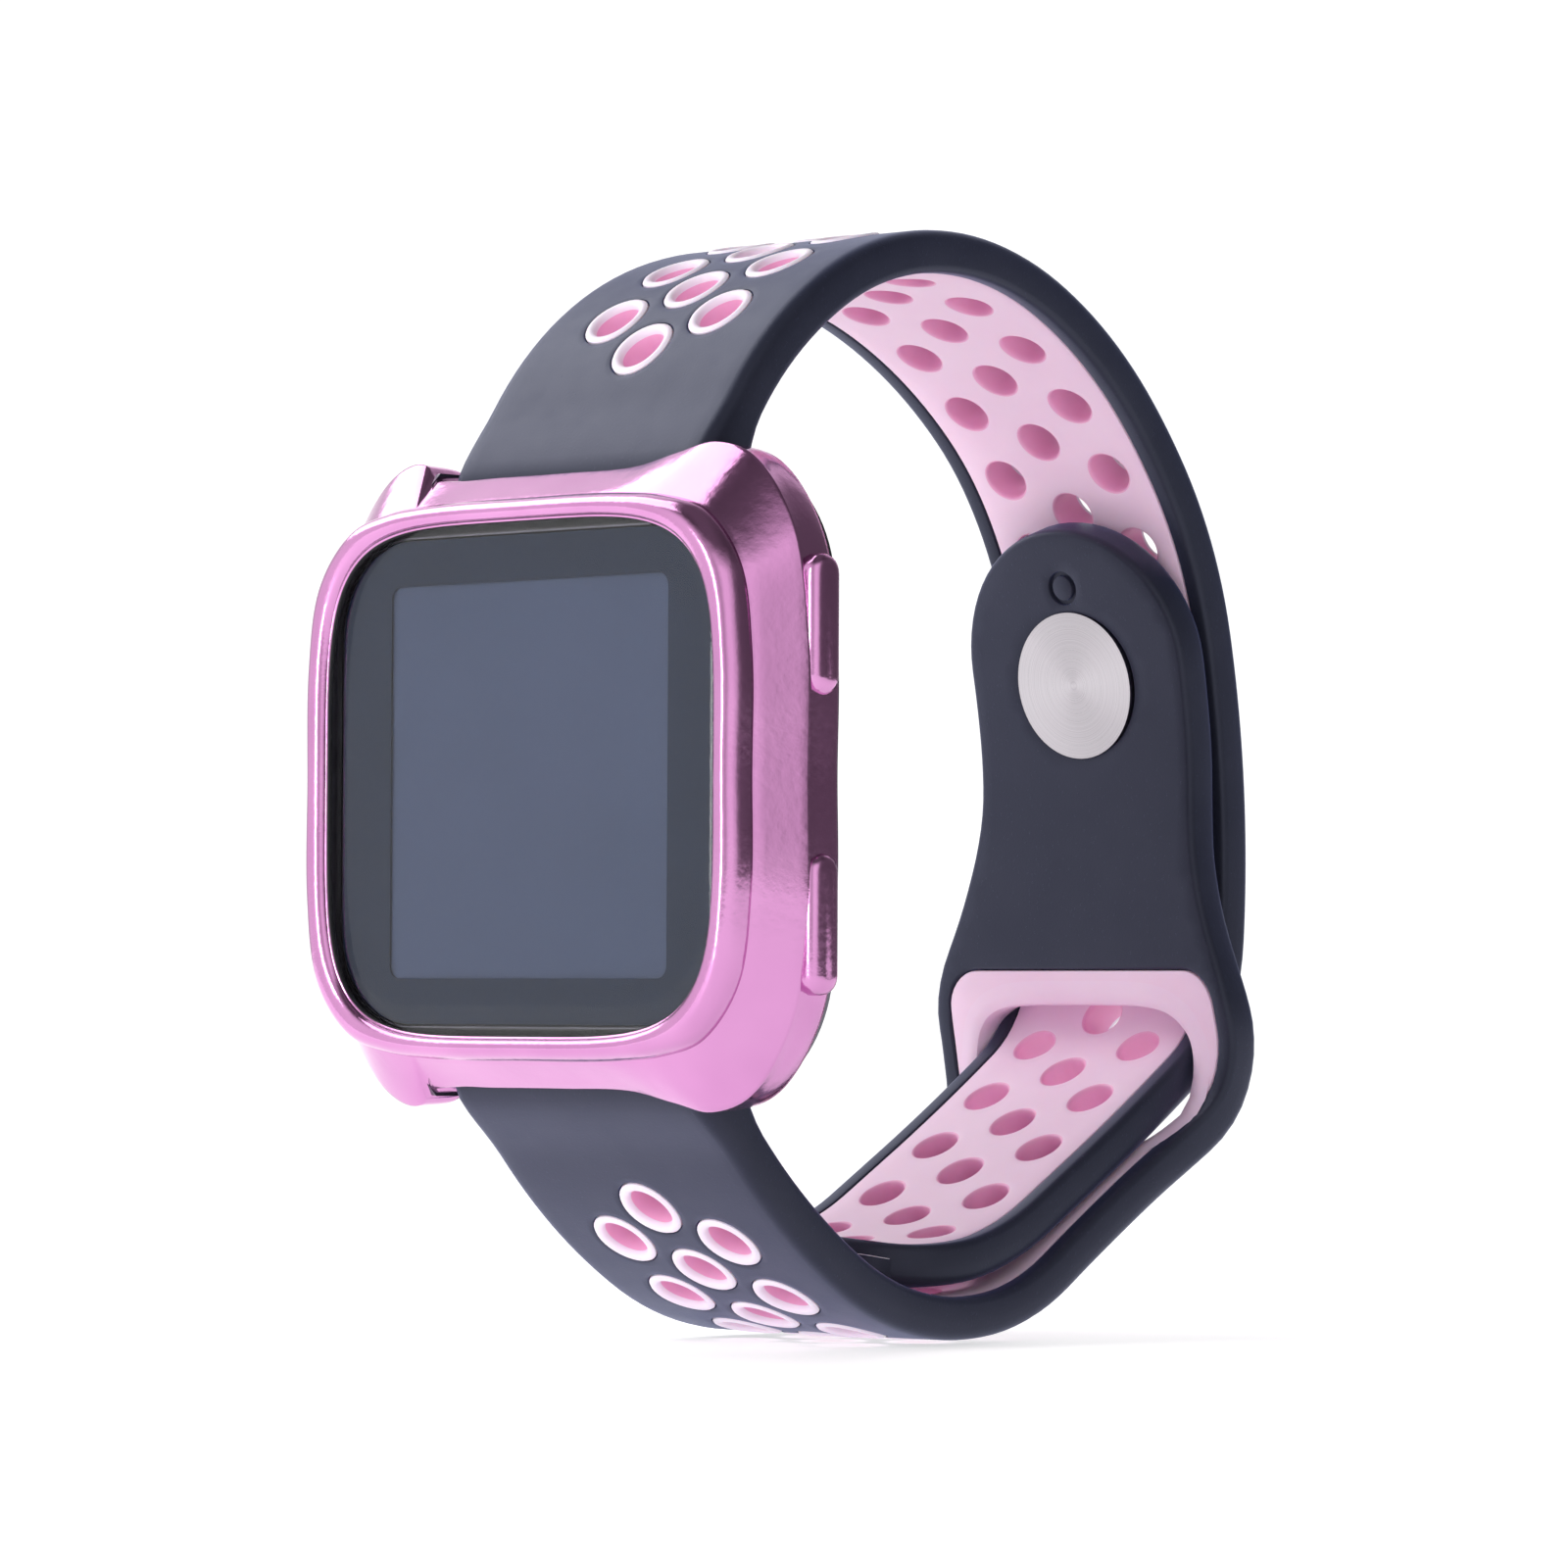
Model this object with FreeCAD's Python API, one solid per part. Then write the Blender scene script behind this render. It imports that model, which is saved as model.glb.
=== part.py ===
import FreeCAD, Part
import math
import os

# Square fitness tracker in a snap-on bumper case, on a two-tone perforated strap that is
# fastened into a closed loop. Millimetres.
# +Z points to twelve o'clock, the screen faces -Y, and +X is the side with two buttons.
# The origin is the centre of the sensor window, the face that rests on the wrist.

V = FreeCAD.Vector

# Tracker case
CASE_W = 37.6
CASE_H = 38.8
CASE_CORNER = 8.5
CASE_FRONT = -11.1
CASE_REAR = -3.2
NECK_W = 35.0
NECK_H = 32.6
NECK_CORNER = 7.4
NECK_REAR = -10.2
FACE_H = 33.2
FIT = 0.05

# Notches between the lugs, where the straps hang on their spring bars
NOTCH_HALF = 11.5
NOTCH_Z = 16.1
NOTCH_FRONT = -7.0
BAR_Y = -4.7
BAR_Z = 18.4
PIN_R = 0.4
PIN_REACH = 12.4
LUG_HOLE_R = 0.45

# Bumper case
BUMPER_FRONT = -12.0
BUMPER_SHOULDER = -10.0
BUMPER_RIDGE = -7.15
BUMPER_REAR = -4.3
ROLL_R = 0.9
RIDGE_QUARTER = [(20.5, 0.0), (20.45, 8.0), (19.2, 14.6), (15.6, 19.2), (12.6, 20.35),
                 (9.6, 19.7), (6.0, 18.85), (0.0, 18.75)]
SHOULDER_QUARTER = [(18.75, 0.0), (18.7, 7.4), (17.75, 12.4), (14.9, 15.6), (11.4, 16.6),
                    (8.6, 16.85), (5.5, 16.95), (0.0, 16.95)]
OPENING_HALF_W = 16.75
OPENING_HALF_H = 15.55

# Glass and screen
GLASS_W = 33.9
GLASS_H = 31.7
GLASS_T = 0.9
CAVITY_W = 32.8
CAVITY_H = 29.8
SEAL_T = 0.15
SCREEN = 24.1

# Side buttons: side sign and height of each
BUTTONS = {"left": (-1, 0.0), "right_upper": (1, 8.85), "right_lower": (1, -8.85)}
BUTTON_Y = -6.0
COVER_LEN = 8.4
COVER_WIDE = 2.4
COVER_OUT = 21.1
CAP_LEN = 6.0
CAP_WIDE = 1.5
STEM_R = 0.6

# Straps: side view of each centre line as a start angle and a list of (length, turn) arcs,
# from the spring bar on. Angles are from +Y towards +Z, in degrees.
STRAP_T = 2.7
UPPER_ANGLE = 64
UPPER_ARCS = [(2, 0), (14, -33), (10, -26), (12, -29), (12, -22), (16, -32), (20, -16.3),
              (6, -25.5), (4, -25), (12, -4), (5, 0), (10, -29), (5, -25)]
LOWER_ANGLE = -52
LOWER_ARCS = [(3, 0), (14, 20), (14, 41), (7, 25.5), (11, -2.5), (4, 8), (4, 42.5), (4, 22),
              (4, -17), (8, -3), (7, 13), (14, 12)]
UPPER_WIDTHS = [(0, 21.8), (14, 21.8), (52, 17.8), (128, 18.4)]
LOWER_WIDTHS = [(0, 21.4), (12, 21.4), (38, 20.4), (48, 20.8), (51, 21.2), (54, 23.2), (57, 25.2),
                (60, 26.0), (63, 25.8), (66, 22.8), (70, 19.9), (74, 18.4), (94, 18.8)]
HUB_R = 2.0
LIP = 1.3
LINER_T = 1.1
CORNER = 0.8

# Hole pattern: rows half a pitch apart, one centre hole and then a pair
FIRST_ROW = 9.0
ROW_STEP = 2.965
PAIR_X = 4.52
HOLE_R = 1.5
BOSS_R = 2.2
UPPER_ROWS = 40
LOWER_ROWS = 12

# Strap loop and stud
SLOT_FROM = 48.6
SLOT_TO = 62.2
SLOT_HALF = 9.4
SLOT_WAIST = 54.0
SLOT_SHOULDER = 61.0
RIM = 1.4
STUD_S = 83.4
DISC_R = 4.85
STRAP_GAP = 0.7
POST_R = 1.3
HEAD_R = 2.3


def box(x0, x1, y0, y1, z0, z1):
    return Part.makeBox(x1 - x0, y1 - y0, z1 - z0, V(x0, y0, z0))


def rod(radius, start, end):
    axis = end - start
    return Part.makeCylinder(radius, axis.Length, start, axis)


def rounded(width, height, corner, y0, y1, cx=0.0, cz=0.0):
    """A slab with round corners, width along X and height along Z."""
    body = box(cx - width / 2, cx + width / 2, y0, y1, cz - height / 2, cz + height / 2)
    edges = [e for e in body.Edges if abs(e.BoundBox.YLength - (y1 - y0)) < 1e-6]
    return body.makeFillet(corner, edges)


def pill(length, wide, x0, x1, y, z):
    """A stadium with its flat ends facing X and its long way along Z."""
    low, high = min(x0, x1), max(x0, x1)
    half = (length - wide) / 2
    body = box(low, high, y - wide / 2, y + wide / 2, z - half, z + half)
    for dz in (-half, half):
        body = body.fuse(rod(wide / 2, V(low, y, z + dz), V(high, y, z + dz)))
    return body.removeSplitter()


def save(name, shape):
    if shape.ShapeType == "Compound" and len(shape.Solids) == 1:
        shape = shape.Solids[0]
    shape.exportStep(f"parts/{name}.step")


# ---------------------------------------------------------------- strap path

class Path:
    """A strap's centre line in the YZ plane, made of tangent arcs."""

    def __init__(self, z, angle, arcs, outward, widths):
        self.start = (BAR_Y, z, math.radians(angle))
        self.arcs = arcs
        self.outward = outward
        self.widths = widths
        self.length = sum(length for length, turn in arcs)

    def at(self, s):
        """Point and heading at distance s from the spring bar."""
        y, z, angle = self.start
        left = s
        for length, turn in self.arcs:
            step = min(left, length)
            swing = math.radians(turn) * step / length
            chord = step
            if abs(swing) > 1e-9:
                chord = step * math.sin(swing / 2) / (swing / 2)
            y += chord * math.cos(angle + swing / 2)
            z += chord * math.sin(angle + swing / 2)
            angle += swing
            left -= step
            if left <= 0:
                break
        return y, z, angle

    def point(self, s, x, out):
        """Point x across the strap and out from its centre line, away from the wrist."""
        y, z, angle = self.at(s)
        n = out * self.outward
        return V(x, y - n * math.sin(angle), z + n * math.cos(angle))

    def normal(self, s):
        return (self.point(s, 0, 1) - self.point(s, 0, 0)).normalize()

    def width(self, s):
        for (s0, w0), (s1, w1) in zip(self.widths, self.widths[1:]):
            if s <= s1:
                return w0 + (w1 - w0) * (s - s0) / (s1 - s0)
        return self.widths[-1][1]


UPPER = Path(BAR_Z, UPPER_ANGLE, UPPER_ARCS, 1, UPPER_WIDTHS)
LOWER = Path(-BAR_Z, LOWER_ANGLE, LOWER_ARCS, -1, LOWER_WIDTHS)


def stations(start, end, tip, step=3.0):
    """Distances of the cross-sections, closer together over a round tip."""
    count = max(2, round((end - tip - start) / step))
    marks = [start + (end - tip - start) * i / count for i in range(count + 1)]
    if tip:
        marks += [end - tip * k for k in (0.72, 0.47, 0.27, 0.12, 0.03)]
    return marks


def ribbon(path, start, end, low, high, inset=0.0, tip=0.0, corner=0.0, cap=None):
    """A band along a path, from low to high across its thickness."""
    wires = []
    for s in stations(start, end, tip):
        half = path.width(s) / 2 - inset
        if cap:
            half = min(half, cap(s))
        if tip and s > end - tip:
            half *= math.sqrt(1 - (1 - (end - s) / tip) ** 2)
        c = corner
        pts = [(-half, low), (half, low), (half, high - c), (half - c, high),
               (-half + c, high), (-half, high - c)]
        if not corner:
            pts = [(-half, low), (half, low), (half, high), (-half, high)]
        pts = [path.point(s, x, n) for x, n in pts]
        wires.append(Part.makePolygon(pts + pts[:1]))
    return Part.makeLoft(wires, True, False)


def peg(path, s, x, low, high, radius):
    return rod(radius, path.point(s, x, low), path.point(s, x, high))


def hole_rows(rows):
    """Centres of the strap's holes as (distance, x)."""
    spots = []
    for k in range(rows):
        s = FIRST_ROW + k * ROW_STEP
        spots += [(s, x) for x in ((0.0,) if k % 2 == 0 else (-PAIR_X, PAIR_X))]
    return spots


# ---------------------------------------------------------------- straps

def hub(path):
    x = path.width(0) / 2
    z = path.start[1]
    return rod(HUB_R, V(-x, BAR_Y, z), V(x, BAR_Y, z))


def bar_bore(path):
    """Bore for the spring bar's tube, with a slot for its release lever."""
    z = path.start[1]
    bore = rod(0.85, V(-12, BAR_Y, z), V(12, BAR_Y, z))
    slot = box(5.6, 8.2, -0.6, 0.6, 0.0, 4.0)
    return bore.fuse(turned(slot, path))


def turned(shape, path):
    """Turn a shape drawn with +Z towards the wrist so that it sits on a spring bar."""
    n = path.normal(0) * -1
    shape.rotate(V(0, 0, 0), V(1, 0, 0), math.degrees(math.atan2(n.z, n.y)) - 90)
    shape.translate(V(0, BAR_Y, path.start[1]))
    return shape


def upper_strap():
    half = STRAP_T / 2
    end = UPPER.length
    body = ribbon(UPPER, 0, end, -half, half, tip=9.0, corner=CORNER).fuse(hub(UPPER))
    bed = ribbon(UPPER, 4.5, end - LIP, -half - 0.5, -half + LINER_T, inset=LIP, tip=7.7)
    skin = ribbon(UPPER, 4.5, end - LIP, -half, -half + LINER_T, inset=LIP, tip=7.7)
    spots = hole_rows(UPPER_ROWS)
    bosses = [peg(UPPER, s, x, -half + 0.4, half + 0.02, BOSS_R) for s, x in spots]
    wells = [peg(UPPER, s, x, -half + 0.4, half + 1, BOSS_R) for s, x in spots]
    bores = [peg(UPPER, s, x, -half - 1, half + 1, HOLE_R) for s, x in spots]
    shell = body.cut(bed).cut(Part.Compound(wells)).cut(bar_bore(UPPER))
    liner = skin.fuse(bosses).cut(Part.Compound(bores))
    save("upper_strap_shell", shell)
    save("upper_strap_liner", liner)


def slot_block(grow, low, high):
    """The slot's window made larger all round: narrower at its lower end, round-shouldered at its top."""
    def cap(s):
        return SLOT_HALF + grow - 0.32 * max(0.0, SLOT_WAIST - s) - 0.6 * max(0.0, s - SLOT_SHOULDER)
    return ribbon(LOWER, SLOT_FROM - grow, SLOT_TO + grow, low, high, cap=cap)


def loop_cap(s):
    """Half-width limit of the skin layer where the strap widens into its loop."""
    return SLOT_HALF + RIM + 0.8


def lower_strap():
    half = STRAP_T / 2
    end = LOWER.length
    body = ribbon(LOWER, 0, end, -half, half, tip=9.4, corner=CORNER).fuse(hub(LOWER))
    top = SLOT_TO + RIM + 0.8
    bed = ribbon(LOWER, 4.5, top, -half - 0.5, -half + LINER_T, inset=LIP, cap=loop_cap)
    skin = ribbon(LOWER, 4.5, top, -half, -half + LINER_T, inset=LIP, cap=loop_cap)
    rim = slot_block(RIM, -half + 0.3, half)
    window = slot_block(0, -half - 2, half + 2)
    spots = hole_rows(LOWER_ROWS)
    bosses = [peg(LOWER, s, x, -half + 0.4, half + 0.02, BOSS_R) for s, x in spots]
    wells = [peg(LOWER, s, x, -half + 0.4, half + 1, BOSS_R) for s, x in spots]
    bores = [peg(LOWER, s, x, -half - 1, half + 1, HOLE_R) for s, x in spots]
    shell = body.cut(bed).cut(slot_block(RIM, -half - 1, half + 1)).cut(Part.Compound(wells))
    shell = shell.cut(bar_bore(LOWER)).cut(peg(LOWER, STUD_S, 0, -half - 1, half + 1, POST_R))
    shell = shell.cut(peg(LOWER, STUD_S, 0, -half - 1, -half + 0.6, DISC_R))
    gate = peg(LOWER, STUD_S + 6.6, 0, -half - 1, -half + 0.3, 1.15)
    gate = gate.cut(peg(LOWER, STUD_S + 6.6, 0, -half - 1, -half + 1, 0.8))
    liner = skin.fuse(rim).fuse(bosses).cut(Part.Compound(bores)).cut(window)
    save("lower_strap_shell", shell.cut(gate))
    save("lower_strap_liner", liner)


def stud():
    """Metal stud: a disc on the skin side and a mushroom head through the upper strap."""
    half = STRAP_T / 2
    save("stud_disc", peg(LOWER, STUD_S, 0, -half - 0.3, -half + 0.6, DISC_R))
    top = half + STRAP_GAP + STRAP_T + 0.1
    post = peg(LOWER, STUD_S, 0, -half + 0.6, top, POST_R)
    save("stud_post", post.fuse(peg(LOWER, STUD_S, 0, top, top + 0.8, HEAD_R)))


def spring_bar(name, path):
    """Quick-release bar: tube, fixed pin, spring, and a pin with its release lever."""
    z = path.start[1]

    def along(radius, x0, x1):
        return rod(radius, V(x0, BAR_Y, z), V(x1, BAR_Y, z))

    tube = along(0.8, -9.9, 9.9).cut(along(0.5, -12, 12))
    tube = tube.cut(turned(box(5.6, 8.2, -0.55, 0.55, 0.0, 3.0), path))
    save(f"{name}_bar_tube", tube)
    save(f"{name}_bar_fixed_pin", along(0.5, -9.7, -7.0).fuse(along(PIN_R, -PIN_REACH, -7.0)))
    lever = turned(box(7.2, 8.1, -0.45, 0.45, 0.0, 2.7), path)
    save(f"{name}_bar_lever", along(PIN_R, 5.0, PIN_REACH).fuse(lever).removeSplitter())
    coil = Part.makeHelix(1.1, 11.7, 0.3)
    profile = Part.Wire(Part.makeCircle(0.07, V(0.3, 0, 0), V(0, 1, 0)))
    wire = Part.Wire(coil).makePipeShell([profile], True, True)
    wire.rotate(V(0, 0, 0), V(0, 1, 0), 90)
    wire.translate(V(-6.85, BAR_Y, z))
    save(f"{name}_bar_spring", wire)


# ---------------------------------------------------------------- case

def notches(half, z, front):
    """The two gaps between the lugs, behind a front plane."""
    low = box(-half, half, front, 10, -40, -z)
    return low.fuse(box(-half, half, front, 10, z, 40))


def round_wire(width, height, corner, y):
    """A rectangle with round corners as a closed wire in the plane of one Y."""
    slab = rounded(width, height, corner, y, y + 1)
    return min(slab.Faces, key=lambda face: face.CenterOfMass.y).OuterWire


def housing_outline(grow):
    """The case without its hollow: a straight neck, a flared front and straight sides."""
    wide, tall = 2 * grow + NECK_W, 2 * grow + NECK_H
    neck = rounded(wide, tall, NECK_CORNER, CASE_FRONT, NECK_REAR)
    widest = round_wire(CASE_W + 2 * grow, CASE_H + 2 * grow, CASE_CORNER, NOTCH_FRONT)
    flare = Part.makeLoft([round_wire(wide, tall, NECK_CORNER, NECK_REAR), widest], True, True)
    sides = rounded(CASE_W + 2 * grow, CASE_H + 2 * grow, CASE_CORNER, NOTCH_FRONT, CASE_REAR)
    body = neck.fuse([flare, sides]).removeSplitter()
    front = notches(NOTCH_HALF - grow, FACE_H / 2 + grow, -50)
    return body.cut(front).cut(notches(NOTCH_HALF - grow, NOTCH_Z + grow, NOTCH_FRONT))


def watch_housing():
    body = housing_outline(0)
    seat = rounded(GLASS_W + 0.1, GLASS_H + 0.1, 7.0, CASE_FRONT - 1, CASE_FRONT + GLASS_T + 0.15)
    room = rounded(CAVITY_W, CAVITY_H, 6.0, CASE_FRONT - 1, CASE_REAR + 1)
    body = body.cut(seat).cut(room)
    for side in (-1, 1):
        lugs = [rod(LUG_HOLE_R, V(side * 11, BAR_Y, z), V(side * 13.4, BAR_Y, z)) for z in (-BAR_Z, BAR_Z)]
        open_back = box(*sorted((side * 11, side * 13.4)), BAR_Y, 0, -BAR_Z - LUG_HOLE_R, -BAR_Z + LUG_HOLE_R)
        body = body.cut(lugs[0]).cut(lugs[1]).cut(open_back)
    for side, z in BUTTONS.values():
        body = body.cut(pill(CAP_LEN + 0.2, CAP_WIDE + 0.2, side * 17.9, side * 19.5, BUTTON_Y, z))
        body = body.cut(rod(STEM_R + 0.06, V(side * 15, BUTTON_Y, z), V(side * 19, BUTTON_Y, z)))
        body = body.cut(rod(1.05, V(side * 16, BUTTON_Y, z), V(side * 17.3, BUTTON_Y, z)))
    save("watch_housing", body)


def closed_curve(quarter, y):
    """A smooth closed wire through a quarter's points and their mirror images."""
    top = quarter + [(-x, z) for x, z in reversed(quarter[:-1])]
    ring = top + [(x, -z) for x, z in reversed(top[1:-1])]
    curve = Part.BSplineCurve()
    curve.interpolate([V(x, y, z) for x, z in ring], True)
    return Part.Wire(curve.toShape())


def bumper_case():
    """A round bezel, a bevelled flank that dips over each strap, and a straight rear band."""
    shoulder = closed_curve(SHOULDER_QUARTER, BUMPER_SHOULDER)
    ridge = closed_curve(RIDGE_QUARTER, BUMPER_RIDGE)
    roll = Part.Face(shoulder).extrude(V(0, BUMPER_FRONT - BUMPER_SHOULDER, 0))
    front = [e for e in roll.Edges if abs(e.BoundBox.YMax - BUMPER_FRONT) < 1e-3]
    roll = roll.makeFillet(ROLL_R, front)
    flank = Part.makeLoft([shoulder, ridge], True, True)
    band = Part.Face(ridge).extrude(V(0, BUMPER_REAR - BUMPER_RIDGE, 0))
    shell = roll.fuse([flank, band]).cut(housing_outline(FIT))
    opening = rounded(2 * OPENING_HALF_W, 2 * OPENING_HALF_H, 6.5, BUMPER_FRONT - 1, CASE_FRONT + 1)
    shell = shell.cut(opening).cut(notches(NOTCH_HALF, 10, NOTCH_FRONT))
    for side, z in BUTTONS.values():
        shell = shell.cut(pill(COVER_LEN + 0.3, COVER_WIDE + 0.3, side * 18, side * 23, BUTTON_Y, z))
    save("bumper_case", shell)


def glass_and_screen():
    y = CASE_FRONT
    save("cover_glass", rounded(GLASS_W, GLASS_H, 7.0, y, y + GLASS_T))
    gasket = rounded(GLASS_W - 0.2, GLASS_H - 0.2, 6.9, y + GLASS_T, y + GLASS_T + 0.15)
    gasket = gasket.cut(rounded(CAVITY_W + 0.2, CAVITY_H + 0.2, 6.1, -20, 0))
    save("glass_gasket", gasket)
    border = rounded(CAVITY_W - 0.2, CAVITY_H - 0.2, 5.9, y + GLASS_T, y + GLASS_T + 0.15)
    save("display_border", border.cut(rounded(SCREEN, SCREEN, 0.8, -20, 0)))
    save("display_panel", rounded(30.6, 27.6, 4.0, y + 1.1, y + 2.4))


def inside():
    """Frame, battery, boards and motor behind the screen."""
    frame = rounded(CAVITY_W - 0.4, CAVITY_H - 0.4, 5.8, -8.5, -7.7)
    frame = frame.cut(rounded(18, 18, 2, -9, -7, cx=-4))
    save("mid_frame", frame)
    save("battery", rounded(20, 21, 1.5, -7.5, -4.4, cx=-4.2))
    clip = box(-15.0, 6.6, -4.3, -4.0, 4, 8)
    clip = clip.fuse(box(-15.0, -14.6, -7.6, -4.3, 4, 8)).fuse(box(6.2, 6.6, -7.6, -4.3, 4, 8))
    save("battery_clip", clip.removeSplitter())
    board = rounded(6.8, 24, 1.0, -7.5, -6.9, cx=10.7)
    save("main_board", board)
    save("processor_chip", box(8.4, 13.4, -6.85, -6.0, 3.6, 8.6))
    save("antenna_strip", box(-10, 10, -7.5, -7.2, 12.0, 13.2))
    motor_z = -4.6
    can = rod(3.7, V(11, -6.85, motor_z), V(11, -4.0, motor_z))
    can = can.cut(rod(3.4, V(11, -6.6, motor_z), V(11, -4.25, motor_z)))
    save("motor_can", can)
    shaft = rod(0.4, V(11, -6.6, motor_z), V(11, -4.25, motor_z))
    save("motor_shaft", shaft)
    rotor = rod(3.2, V(11, -6.2, motor_z), V(11, -4.7, motor_z))
    rotor = rotor.cut(box(5, 17, -7, -4, motor_z + 0.9, motor_z + 5))
    rotor = rotor.cut(rod(0.45, V(11, -7, motor_z), V(11, -4, motor_z)))
    save("motor_rotor", rotor)


def back():
    """Rear cover with its seal, screws, sensor window and charging pads."""
    outer = rounded(36.0, 31.2, 7.5, CASE_REAR + SEAL_T, -1.9)
    edges = [e for e in outer.Edges if abs(e.BoundBox.YMin + 1.9) < 1e-3 and e.BoundBox.YLength < 1e-3]
    outer = outer.makeChamfer(1.0, edges)
    step = rounded(30.0, 26.0, 6.5, -2.5, -0.9)
    cover = outer.fuse(step).removeSplitter()
    cover = cover.cut(rod(6.5, V(0, -4, 0), V(0, 1, 0))).cut(rod(7.2, V(0, -4, 0), V(0, -1.6, 0)))
    pads = [(x, -9.6) for x in (-4.5, -1.5, 1.5, 4.5)]
    for x, z in pads:
        cover = cover.cut(rod(0.65, V(x, -4, z), V(x, 1, z)))
    screws = []
    for x in (-12.2, 12.2):
        for z in (-9.6, 9.6):
            cover = cover.cut(rod(0.65, V(x, -4, z), V(x, 1, z))).cut(rod(1.25, V(x, -1.7, z), V(x, 1, z)))
            screw = rod(1.2, V(x, -1.65, z), V(x, -0.95, z)).fuse(rod(0.6, V(x, -3.6, z), V(x, -1.65, z)))
            slot = box(x - 0.8, x + 0.8, -1.25, -0.5, z - 0.15, z + 0.15)
            screws.append(screw.cut(slot))
    save("back_cover", cover)
    save("back_screws", Part.Compound(screws))
    seal = rounded(35.4, 30.9, 7.2, CASE_REAR, CASE_REAR + SEAL_T)
    save("back_seal", seal.cut(rounded(CAVITY_W + 0.3, CAVITY_H + 0.2, 6.1, -20, 0)))
    window = rod(7.1, V(0, -2.1, 0), V(0, -1.62, 0)).fuse(rod(6.4, V(0, -1.7, 0), V(0, 0, 0)))
    window = window.removeSplitter()
    rim = [e for e in window.Edges if abs(e.BoundBox.YMax) < 1e-3 and e.BoundBox.YLength < 1e-3]
    save("sensor_window", window.makeFillet(0.6, rim))
    save("sensor_board", rod(6.0, V(0, -3.9, 0), V(0, -3.4, 0)))
    leds = [box(x - 0.8, x + 0.8, -3.35, -2.7, 2.2, 3.8) for x in (-2.4, 2.4)]
    save("sensor_leds", Part.Compound(leds))
    save("photodiode", box(-1.4, 1.4, -3.35, -2.7, -3.4, -0.6))
    shroud = rod(5.8, V(0, -3.35, 0), V(0, -2.2, 0)).cut(rod(5.0, V(0, -4, 0), V(0, 0, 0)))
    wall = box(-5.4, 5.4, -3.35, -2.2, 0.2, 1.0).common(rod(5.4, V(0, -4, 0), V(0, 0, 0)))
    save("light_shroud", shroud.fuse(wall).removeSplitter())
    save("charge_pads", Part.Compound([rod(0.6, V(x, -3.4, z), V(x, -0.85, z)) for x, z in pads]))


def buttons():
    """Each button: soft cover, metal cap on a stem, ring seal and tact switch."""
    for name, (side, z) in BUTTONS.items():
        cover = pill(COVER_LEN, COVER_WIDE, side * 19.2, side * COVER_OUT, BUTTON_Y, z)
        outer = [e for e in cover.Edges if abs(abs(e.BoundBox.XMin) - COVER_OUT) < 1e-3
                 and e.BoundBox.XLength < 1e-3]
        save(f"{name}_button_cover", cover.makeFillet(0.5, outer))
        cap = pill(CAP_LEN, CAP_WIDE, side * 18.35, side * 19.2, BUTTON_Y, z)
        stem = rod(STEM_R, V(side * 15.55, BUTTON_Y, z), V(side * 18.4, BUTTON_Y, z))
        save(f"{name}_button_cap", cap.fuse(stem).removeSplitter())
        ring = Part.makeTorus(STEM_R + 0.22, 0.19, V(side * 17.05, BUTTON_Y, z), V(1, 0, 0))
        save(f"{name}_button_seal", ring)
        low, high = sorted((side * 13.9 + side * 0.9, side * 13.9 + side * 0.3))
        plate = box(low, high, BUTTON_Y - 1.5, BUTTON_Y + 1.4, z - 1.6, z + 1.6)
        nub = rod(0.5, V(side * 14.7, BUTTON_Y, z), V(side * 15.15, BUTTON_Y, z))
        save(f"{name}_switch", plate.fuse(nub).removeSplitter())


def main():
    os.makedirs("parts", exist_ok=True)
    upper_strap()
    lower_strap()
    stud()
    spring_bar("upper", UPPER)
    spring_bar("lower", LOWER)
    watch_housing()
    bumper_case()
    glass_and_screen()
    inside()
    back()
    buttons()


main()
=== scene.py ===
import math

import bmesh
import bpy
from mathutils import Matrix, Vector
from mathutils.geometry import delaunay_2d_cdt

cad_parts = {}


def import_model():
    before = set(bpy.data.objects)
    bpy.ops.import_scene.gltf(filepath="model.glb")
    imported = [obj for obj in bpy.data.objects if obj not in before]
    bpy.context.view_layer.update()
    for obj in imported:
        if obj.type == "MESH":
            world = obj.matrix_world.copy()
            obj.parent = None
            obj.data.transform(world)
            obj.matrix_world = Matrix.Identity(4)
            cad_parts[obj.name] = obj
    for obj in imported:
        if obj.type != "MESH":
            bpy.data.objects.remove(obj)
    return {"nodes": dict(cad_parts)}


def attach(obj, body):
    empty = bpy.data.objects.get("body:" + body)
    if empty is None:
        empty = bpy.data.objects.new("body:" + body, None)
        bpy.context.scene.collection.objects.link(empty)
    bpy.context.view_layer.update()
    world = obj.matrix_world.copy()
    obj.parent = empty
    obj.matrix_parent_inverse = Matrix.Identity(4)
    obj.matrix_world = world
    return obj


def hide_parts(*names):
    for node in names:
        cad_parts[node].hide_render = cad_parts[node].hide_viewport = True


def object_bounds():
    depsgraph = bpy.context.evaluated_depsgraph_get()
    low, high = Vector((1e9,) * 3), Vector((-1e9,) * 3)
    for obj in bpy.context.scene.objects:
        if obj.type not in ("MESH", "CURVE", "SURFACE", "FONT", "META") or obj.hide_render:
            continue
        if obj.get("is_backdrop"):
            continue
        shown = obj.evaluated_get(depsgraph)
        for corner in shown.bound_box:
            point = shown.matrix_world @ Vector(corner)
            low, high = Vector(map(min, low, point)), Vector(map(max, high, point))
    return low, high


# Looks of a square fitness tracker in a plated bumper case on a two-tone perforated strap.
# Shapes are worked out in millimetres in the same frame as the CAD and turned into metres last.
MM = 0.001

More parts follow.
